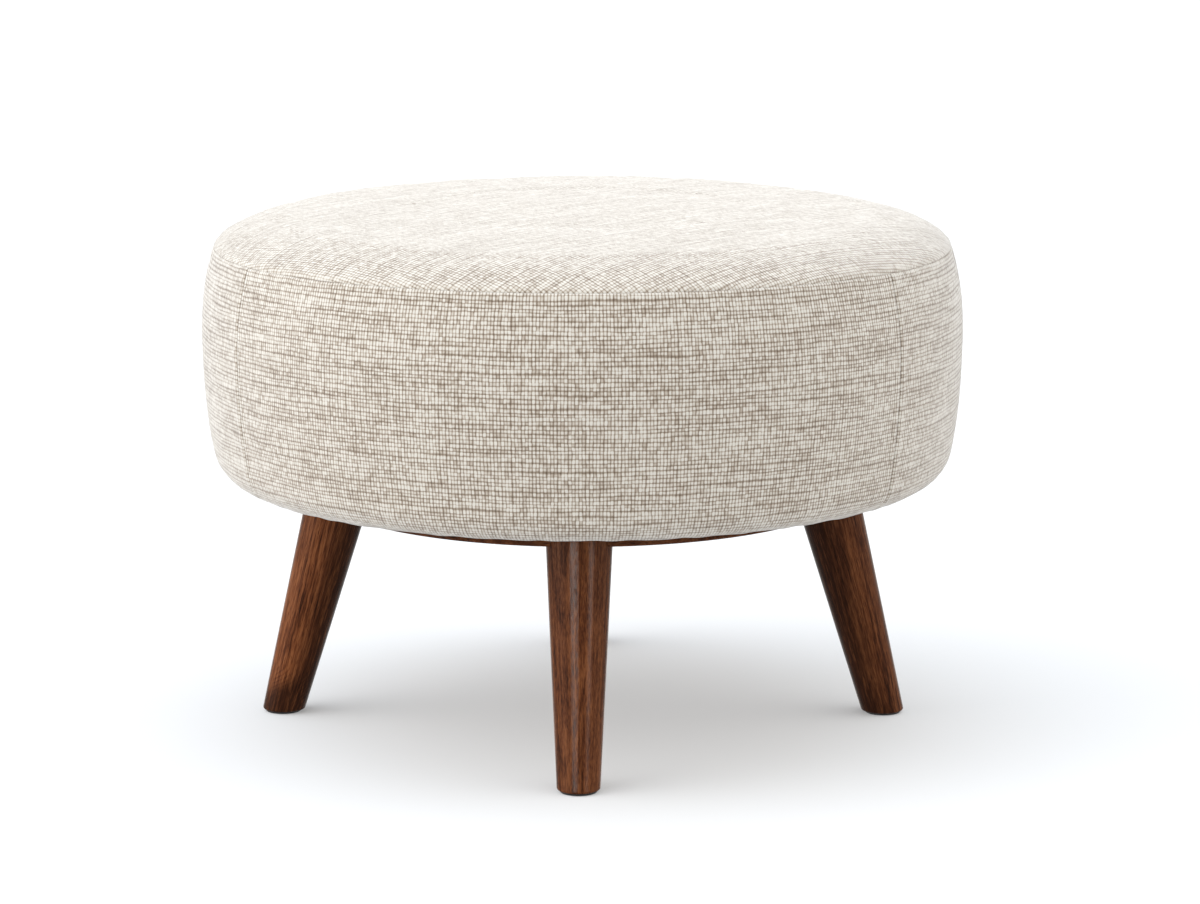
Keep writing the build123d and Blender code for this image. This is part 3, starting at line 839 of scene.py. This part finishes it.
def top_panel():
    runs = [top_run - p for p in graded(top_run, fine=0.0005, coarse=0.0055)]
    line = [(*outline_point(TOP_ARCS, run)[:2], run) for run in runs]
    turns = [2 * pi * i / TOP_STEPS for i in range(TOP_STEPS + 1)]
    shape, run_layer = spun_cloth(line, turns, True)
    for point in shape.verts:
        seam_run = top_run - seam_lift(point.co)
        run = point[run_layer] * seam_run / top_run
        point[run_layer] = run
        from_seam = seam_run - run
        r, z, r_part, z_part = outline_point(TOP_ARCS, run)
        point.co = outward(r, z, point.co) if r > ON_AXIS else Vector((0.0, 0.0, z))
        direction = outward(r_part, z_part, point.co)
        move = swell(point.co, direction) - seam_pull(point.co)
        move += seam_shape(from_seam) + pucker(from_seam, point.co)
        move += unevenness(point.co) * min(1.0, from_seam / PADDING_EASE)
        point.co += direction * move

    def roll_highlight(v):
        """Painted highlight along the rolled edge just above the round seam, lightening the weave towards
        white, more so at the front.
        """
        from_seam = top_run - seam_lift(v.co) - v[run_layer]
        uneven = ROLL_HIGHLIGHT_BASE + ROLL_HIGHLIGHT_SWING * noise.noise(v.co * ROLL_HIGHLIGHT_PER_METRE)
        frontal = 1.0 - ROLL_HIGHLIGHT_FRONTAL + ROLL_HIGHLIGHT_FRONTAL * max(0.0, cos(bearing_of(v.co)))
        share = SEAM_ROLL_HIGHLIGHT * uneven * frontal
        return share * exp(-(((from_seam - ROLL_HIGHLIGHT_PLACE) / ROLL_HIGHLIGHT_WIDTH) ** 2))

    weave_map(shape, lambda v: (
        v[run_layer] * cos(bearing_of(v.co) + TOP_WEAVE_ANGLE),
        v[run_layer] * sin(bearing_of(v.co) + TOP_WEAVE_ANGLE),
    ), roll_highlight)
    return finished_piece("top_panel_cloth", shape, linen)


HEM_STEPS = 14


def side_line():
    """The side panel's section, from the top seam down and in to its raw edge."""
    line = []
    for run in graded(side_run, fine=0.0005, coarse=0.0045):
        line.append((*outline_point(SIDE_ARCS, run)[:2], run))
    start = SIDE_ARCS[-1][0]
    for i in range(1, HEM_STEPS + 1):
        inwards = hem_run * i / HEM_STEPS
        line.append((start - inwards, UNDERSIDE, side_run + inwards))
    return line


PLEAT_COUNT = 52.0
PLEAT_DEPTH = 0.0008
PLEAT_LEVEL = 0.6
PLEAT_WANDER = 2.6
PLEAT_WANDER_SCALE = 9.0
PLEAT_START = 0.014
PLEAT_GROWTH = 0.020
PLEAT_STOP = 0.020
PLEAT_FADE = 0.010


def pleat(run, place):
    """Small radial pleats of the spare cloth on the underside, pressed flat again at the staples."""
    under = (run - side_run + PLEAT_START) / PLEAT_GROWTH
    flat = (side_run + hem_run - PLEAT_STOP - run) / PLEAT_FADE
    if under <= 0.0 or flat <= 0.0:
        return 0.0
    angle = bearing_of(place) * PLEAT_COUNT
    round_place = Vector((cos(angle / PLEAT_COUNT), sin(angle / PLEAT_COUNT), 0.0))
    wave = sin(angle + PLEAT_WANDER * noise.noise(round_place * PLEAT_WANDER_SCALE))
    return PLEAT_DEPTH * (wave - PLEAT_LEVEL) * min(1.0, under) * min(1.0, flat)


UPRIGHT_SEAM = 1.6
SIDE_SEAM_EASE = 0.02
HEM_EASE = 0.04
HEM_EASE_PAST = 0.01
WEFT_START = 0.12


def side_panel(name, first, last, thread_edge):
    width = radians(last - first)
    places = graded(width * WEAVE_RADIUS, fine=0.0006, coarse=0.0029, both=True)
    turns = [radians(first) + p / WEAVE_RADIUS for p in places]
    middle = radians(first + last) / 2
    shape, run_layer = spun_cloth(side_line(), turns, False)
    for point in shape.verts:
        run = point[run_layer]
        bearing = bearing_of(point.co)
        turned = (bearing - middle + pi) % (2 * pi) - pi
        from_side_seam = (width / 2 - abs(turned)) * WEAVE_RADIUS
        r_part, z_part = 0.0, -1.0
        if run < side_run:
            lifted = top_run + run - seam_lift(point.co) * (1.0 - run / side_run)
            r, z, r_part, z_part = outline_point(ALL_ARCS, lifted)
            point.co = outward(r, z, point.co)
        direction = outward(r_part, z_part, point.co)
        above_hem = max(0.0, min(1.0, (side_run + HEM_EASE_PAST - run) / HEM_EASE))
        move = (swell(point.co, direction) - seam_pull(point.co)) * above_hem
        sewn = seam_shape(run) + UPRIGHT_SEAM * seam_shape(from_side_seam) * above_hem
        move += max(-UPRIGHT_SEAM * SEAM_VALLEY, sewn)
        move += pucker(run, point.co) - pleat(run, point.co)
        ease = min(1.0, run / PADDING_EASE) * min(1.0, from_side_seam / SIDE_SEAM_EASE) * above_hem
        move += unevenness(point.co) * ease
        point.co += direction * move
    weave_map(shape, lambda v: (
        ((bearing_of(v.co) - middle + pi) % (2 * pi) - pi + thread_edge * width / 2) * WEAVE_RADIUS,
        v[run_layer] + WEFT_START * WEFT_PITCH,
    ), lambda v: 0.0)
    return finished_piece(name, shape, linen)


top = top_panel()
cloth_thickness(top)
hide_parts("top_panel")
for side, first, last, thread_edge in (
    ("front", SIDE_SEAMS[0], SIDE_SEAMS[1], -1.0),
    ("right", SIDE_SEAMS[1], SIDE_SEAMS[2], 1.0),
    ("left", SIDE_SEAMS[2], SIDE_SEAMS[0] + 360.0, 1.0),
):
    panel = side_panel(f"side_panel_cloth_{side}", first, last, thread_edge)
    cloth_thickness(panel)
    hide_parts(f"side_panel_{side}")
paint("cover_staples", wire)


# Dust cover: a round of thin black non-woven cloth over the bare base board and the cover's raw edge.
# It is stapled all round, and dips a little between the staples.
DUST_RADIUS = 0.2408
DUST_THICKNESS = 0.0006
BOARD_UNDERSIDE = UNDERSIDE + CLOTH
DUST_STAPLES = 24
DUST_STEPS = 240
DUST_FIT = 0.0002
DUST_RIM = 0.010
DUST_DIP = 0.0014
RIM_DIP_SHARE = 0.4
BEND_START = 0.006
BEND_LOW = (0.001, 0.0003)
BEND_STEP = 0.00015
BEND_STOP = 0.002
DUST_BLACK = (0.012, 0.012, 0.013)
DUST_GREY = (0.035, 0.035, 0.036)


def non_woven():
    material, tree, surface = new_finish("non_woven_cloth")
    dots = add_node(tree, "TexVoronoi", {"Vector": placed(tree), "Scale": 520.0}).outputs["Distance"]
    strands = grain_noise(tree, placed(tree), scale=1400.0, detail=4.0)
    mottled = calc(tree, "MULTIPLY_ADD", strands, 0.5, calc(tree, "MULTIPLY", dots, 0.6))
    set_inputs(tree, surface, {
        "Base Color": blend(tree, fade(tree, mottled, low=0.3, high=0.8), DUST_BLACK, DUST_GREY),
        "Roughness": 0.85,
        "Normal": relief(tree, mottled, distance=0.0003),
    })
    return material


def dust_cover():
    step = HEM_RADIUS - DUST_FIT
    over_hem = UNDERSIDE - DUST_FIT
    line = [(0.0, BOARD_UNDERSIDE), (step - BEND_START, BOARD_UNDERSIDE)]
    line += [(step - BEND_LOW[0], BOARD_UNDERSIDE - BEND_LOW[1]), (step, UNDERSIDE - BEND_STEP)]
    line += [(step + BEND_STOP, over_hem), (DUST_RADIUS - DUST_RIM, over_hem), (DUST_RADIUS, over_hem)]
    turns = [2 * pi * i / DUST_STEPS for i in range(DUST_STEPS + 1)]
    shape, run_layer = spun_cloth([(r, z, r) for r, z in line], turns, True)
    for face in shape.faces:
        if face.normal.z > 0.0:
            face.normal_flip()
    for point in shape.verts:
        if point[run_layer] > DUST_RADIUS - 1.1 * DUST_RIM:
            wave = 0.5 - 0.5 * cos(bearing_of(point.co) * DUST_STAPLES)
            share = 1.0 if point[run_layer] > DUST_RADIUS - DUST_RIM / 2 else RIM_DIP_SHARE
            point.co.z -= DUST_DIP * wave * share
    piece = finished_piece("dust_cover_cloth", shape, non_woven())
    wall = piece.modifiers.new("cloth thickness", "SOLIDIFY")
    wall.thickness = DUST_THICKNESS - DUST_FIT
    wall.offset = 1.0
    return piece


dust = dust_cover()
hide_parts("dust_cover")
paint("dust_cover_staples", wire)


# Legs: four tapered, splayed legs turned from walnut and sawn level at the top and at the foot.
# Each is drawn up to the base board by a hanger bolt. Satin lacquer leaves the pores open.
LEG_SPLAY = radians(14.8)
LEG_BEARING = {"front": 0.0, "right": 90.0, "rear": 180.0, "left": 270.0}
LEG_TOP_RADIUS = 0.19229
LEG_TOP = 0.2016
WALNUT_DARK = (0.017, 0.0052, 0.0022)
WALNUT_MID = (0.086, 0.0254, 0.0084)
WALNUT_LIGHT = (0.180, 0.063, 0.022)
RING_PITCH = 0.0020
RING_WANDER = 0.014
RING_SLOPE = 0.02
RING_SHARE = -0.28
STREAK_SHARE = 0.36
LINE_SHARE = 0.36
CLOUD_SHARE = 0.28
PORE_DARK = 0.7
PORE_DEPTH = -0.8
FOOT_FIGURE = (-0.165, -0.205)
HEART_AND_SHADE_FIGURE = -0.45
HEART_AND_SHADE_DARK = 0.95
LACQUER_ROUGH = 0.18
LACQUER_UNEVEN = 0.06
# Each leg's tone follows how it is lit: the left leg, facing the left light, is set lightest and the
# right leg darkest, as painted light and shade on top of each leg's own timber.
LEG_WOOD = {
    "front": dict(pith=(0.040, 0.070), tone=0.84, stretch=0.14, heart_and_shade=(0.0, 0.026)),
    "right": dict(pith=(-0.060, 0.050), tone=0.79, stretch=0.07, heart_and_shade=(-0.014, 0.018), darker_foot=0.006),
    "rear": dict(pith=(0.050, -0.060), tone=0.84, stretch=0.10, heart_and_shade=(0.0, 0.026)),
    "left": dict(pith=(0.020, -0.048), tone=1.10, stretch=0.05, heart_and_shade=(-0.005, 0.019), darker_foot=0.030),
}


def walnut(name, turn, shift, pith, tone, stretch, heart_and_shade, darker_foot=0.0):
    """Walnut with its grain along the pattern's third axis; the pith lies beside the piece.

    The wood darkens across the piece, along the pattern's second axis, towards the heart, which is set on
    the inner side facing in under the stool: painted shade, broken by the figure like heartwood.
    At the foot the darkening reaches further across, so the foot is darker.
    """
    material, tree, surface = new_finish(name)

    def grain(scale, stretch, detail=2.0):
        """Noise drawn out along the grain."""
        return grain_noise(tree, placed(tree, (1.0, 1.0, stretch), turn, shift), scale, detail)

    x, y, z = add_node(tree, "SeparateXYZ", {0: placed(tree, (1.0, 1.0, 1.0), turn, shift)}).outputs
    dx = calc(tree, "SUBTRACT", x, pith[0])
    dy = calc(tree, "SUBTRACT", y, pith[1])
    squares = calc(tree, "ADD", calc(tree, "MULTIPLY", dx, dx), calc(tree, "MULTIPLY", dy, dy))
    reach = calc(tree, "SQRT", squares)
    reach = calc(tree, "MULTIPLY_ADD", grain(scale=26.0, stretch=0.12), RING_WANDER, reach)
    run_out = calc(tree, "MULTIPLY", fade(tree, z, *FOOT_FIGURE), darker_foot)
    reach = calc(tree, "ADD", run_out, calc(tree, "MULTIPLY_ADD", z, RING_SLOPE, reach))
    ring = calc(tree, "PINGPONG", calc(tree, "DIVIDE", reach, RING_PITCH), 1.0)
    ring_shows = fade(tree, grain(scale=60.0, stretch=0.10), low=0.35, high=0.65)
    ring = calc(tree, "MULTIPLY", fade(tree, ring, low=0.35, high=1.0), ring_shows)
    streak = fade(tree, grain(scale=430.0, stretch=0.2 * stretch, detail=3.0), low=0.32, high=0.68)
    line = fade(tree, grain(scale=1400.0, stretch=stretch), low=0.30, high=0.70)
    cloud = fade(tree, grain(scale=90.0, stretch=0.12, detail=3.0), low=0.25, high=0.75)
    pores = add_node(
        tree, "TexVoronoi", {"Vector": placed(tree, (1.0, 1.0, 0.10), turn, shift), "Scale": 900.0}
    ).outputs["Distance"]
    pore = calc(tree, "SUBTRACT", 1.0, fade(tree, pores, low=0.08, high=0.30))
    # A leg's tone is partly painted light and shade.
    mid, pale = [tuple(tone * part for part in c) for c in (WALNUT_MID, WALNUT_LIGHT)]
    # Painted shade: darker towards the inner side that faces in under the stool, broken by the streak and
    # line figure like heartwood.
    in_heart_and_shade = fade(tree, calc(tree, "ADD", y, run_out), *heart_and_shade)
    figure = calc(tree, "MULTIPLY_ADD", calc(tree, "MULTIPLY", streak, line), HEART_AND_SHADE_FIGURE, HEART_AND_SHADE_DARK)
    heart_and_shade = calc(tree, "MULTIPLY", in_heart_and_shade, figure)
    light = calc(tree, "MULTIPLY_ADD", streak, STREAK_SHARE, calc(tree, "MULTIPLY", cloud, CLOUD_SHARE))
    light = calc(tree, "MULTIPLY_ADD", line, LINE_SHARE, light)
    light = calc(tree, "MULTIPLY_ADD", ring, RING_SHARE, light, clamp=True)
    colour = graduated(tree, light, ((0.05, WALNUT_DARK), (0.40, mid), (0.85, pale)))
    colour = blend(tree, heart_and_shade, colour, WALNUT_DARK)
    colour = blend(tree, calc(tree, "MULTIPLY", pore, PORE_DARK), colour, WALNUT_DARK)
    height = calc(tree, "MULTIPLY_ADD", pore, PORE_DEPTH, calc(tree, "ADD", line, streak))
    set_inputs(tree, surface, {
        "Base Color": colour,
        "Roughness": calc(tree, "MULTIPLY_ADD", line, LACQUER_UNEVEN, LACQUER_ROUGH),
        "Specular IOR Level": 0.12,
        "Normal": relief(tree, height, distance=0.00003, strength=0.6),
    })
    return material


for side in LEG_SIDES:
    bearing = radians(LEG_BEARING[side])
    axis_turn = Matrix.Rotation(LEG_SPLAY, 3, "X").to_4x4() @ Matrix.Rotation(-bearing, 4, "Z")
    top_centre = Vector((sin(bearing) * LEG_TOP_RADIUS, -cos(bearing) * LEG_TOP_RADIUS, LEG_TOP))
    turn = axis_turn.to_euler("XYZ")
    shift = -(axis_turn @ top_centre)
    paint(f"leg_{side}", walnut(f"walnut_leg_{side}", turn, shift, **LEG_WOOD[side]))
    paint(f"hanger_bolt_{side}", zinc)


# Plinth: a disc of walnut screwed under the base board between the legs, hollowed to clear each leg.
# Its lower edge is eased; its grain runs from side to side.
# The plinth darkens towards the back, deeper under the seat: painted shade, broken by the figure like
# heartwood.
PLINTH_HEART_AND_SHADE = (-0.4, 0.6)
plinth_turn = (0.0, radians(90.0), radians(8.0))
paint("plinth_disc", walnut(
    "walnut_plinth", plinth_turn, shift=(0.0, 0.0, 0.03), pith=(0.015, 0.11),
    tone=0.75, stretch=0.10, heart_and_shade=PLINTH_HEART_AND_SHADE,
))
paint("plinth_screws", zinc)


# Glides: black plastic discs under the feet, moulded with a recess for the head of a steel nail.
# The nail goes up into the leg's end grain and holds the glide.
GLIDE_BLACK = (0.012, 0.012, 0.012)
GLIDE_WORN = (0.040, 0.039, 0.038)


def moulded_plastic():
    material, tree, surface = new_finish("moulded_plastic")
    scuff = grain_noise(tree, placed(tree, (1.0, 2.5, 1.0)), scale=600.0, detail=4.0)
    set_inputs(tree, surface, {
        "Base Color": blend(tree, fade(tree, scuff, low=0.5, high=0.8), GLIDE_BLACK, GLIDE_WORN),
        "Roughness": calc(tree, "MULTIPLY_ADD", scuff, 0.25, 0.35),
        "Normal": relief(tree, scuff, distance=0.00006),
    })
    return material


plastic = moulded_plastic()
for side in LEG_SIDES:
    paint(f"glide_{side}", plastic)
paint("glide_nails", zinc)


# Studio: a white floor and soft light from all round, from above and more from the left.
# The camera stands in front of the stool and looks slightly down at it.
# Each light is its direction, its colour and how narrow it is.
FLOOR_HALF_WIDTH = 20.0
FLOOR_WHITE = (0.498, 0.498, 0.498)
FLOOR_GLOW = 0.228
ROOM_LIGHT = (1.10, 1.09, 1.07)
SOFT_BOXES = (
    ((-0.16, 0.20, 0.97), (1.12, 1.44, 1.86), 6.0),
    ((-0.92, -0.22, 0.32), (4.48, 4.48, 4.48), 6.0),
    ((0.94, -0.05, 0.34), (1.82, 1.82, 1.80), 6.0),
)
STRIP_LIGHTS = (
    ((-0.363, -0.900, 0.242), (30.0, 29.0, 28.0), 200.0),
    ((0.698, -0.674, 0.242), (30.0, 29.0, 28.0), 200.0),
)
BACK_GLOW = ((0.0, 1.0, 0.10), (0.75, 0.72, 0.68), 3.0)
ROOM_MIRRORED = 0.20


def floor_finish():
    material, tree, surface = new_finish("white_floor")
    set_inputs(tree, surface, {
        "Base Color": (*FLOOR_WHITE, 1.0),
        "Roughness": 0.9,
        "Specular IOR Level": 0.0,
        "Emission Color": (1.0, 1.0, 1.0, 1.0),
        "Emission Strength": FLOOR_GLOW,
    })
    return material


def studio_floor():
    shape = bmesh.new()
    bmesh.ops.create_grid(shape, x_segments=1, y_segments=1, size=FLOOR_HALF_WIDTH)
    mesh = bpy.data.meshes.new("studio_floor")
    shape.to_mesh(mesh)
    shape.free()
    mesh.materials.append(floor_finish())
    floor = bpy.data.objects.new("studio_floor", mesh)
    bpy.context.scene.collection.objects.link(floor)
    floor.visible_glossy = False


def studio_sky():
    """Even light from all round, with soft boxes above and on each side.

    What the lacquer mirrors is a dim room, lighter at the back, with two strip lights in front.
    """
    world = bpy.data.worlds.new("studio_sky")
    bpy.context.scene.world = world
    world.use_nodes = True
    tree = world.node_tree
    direction = add_node(tree, "TexCoord", {}).outputs["Generated"]

    def plus_lights(light, lights):
        for place, colour, narrowness in lights:
            towards = {0: direction, 1: Vector(place).normalized()}
            facing = add_node(tree, "VectorMath", towards, operation="DOT_PRODUCT").outputs["Value"]
            share = calc(tree, "POWER", calc(tree, "MAXIMUM", facing, 0.0), narrowness)
            shared = {0: colour, "Scale": share}
            glow = add_node(tree, "VectorMath", shared, operation="SCALE").outputs[0]
            light = add_node(tree, "VectorMath", {0: light, 1: glow}).outputs[0]
        return light

    room = plus_lights(ROOM_LIGHT, SOFT_BOXES)
    dimmed = {0: room, "Scale": ROOM_MIRRORED}
    dim_room = add_node(tree, "VectorMath", dimmed, operation="SCALE").outputs[0]
    mirrored = plus_lights(dim_room, (BACK_GLOW, *STRIP_LIGHTS))
    glossy = add_node(tree, "LightPath", {}).outputs["Is Glossy Ray"]
    light = add_node(
        tree, "Mix", {0: glossy, 4: room, 5: mirrored}, data_type="VECTOR", clamp_factor=True
    ).outputs[1]
    set_inputs(tree, tree.nodes["Background"], {"Color": light, "Strength": 1.0})


CAMERA_PLACE = (0.0461, -3.3226, 0.8592)
CAMERA_TURN = (79.037, 0.0, 0.555)
CAMERA_LENS = 125.55
CAMERA_FILM = 36.0
studio_floor()
studio_sky()
camera = bpy.data.cameras.new("photograph_camera")
camera.sensor_width = CAMERA_FILM
camera.lens = CAMERA_LENS
camera_object = bpy.data.objects.new("photograph_camera", camera)
camera_object.location = CAMERA_PLACE
camera_object.rotation_euler = [radians(a) for a in CAMERA_TURN]
bpy.context.scene.collection.objects.link(camera_object)
bpy.context.scene.camera = camera_object
bpy.context.scene.view_settings.view_transform = "Standard"
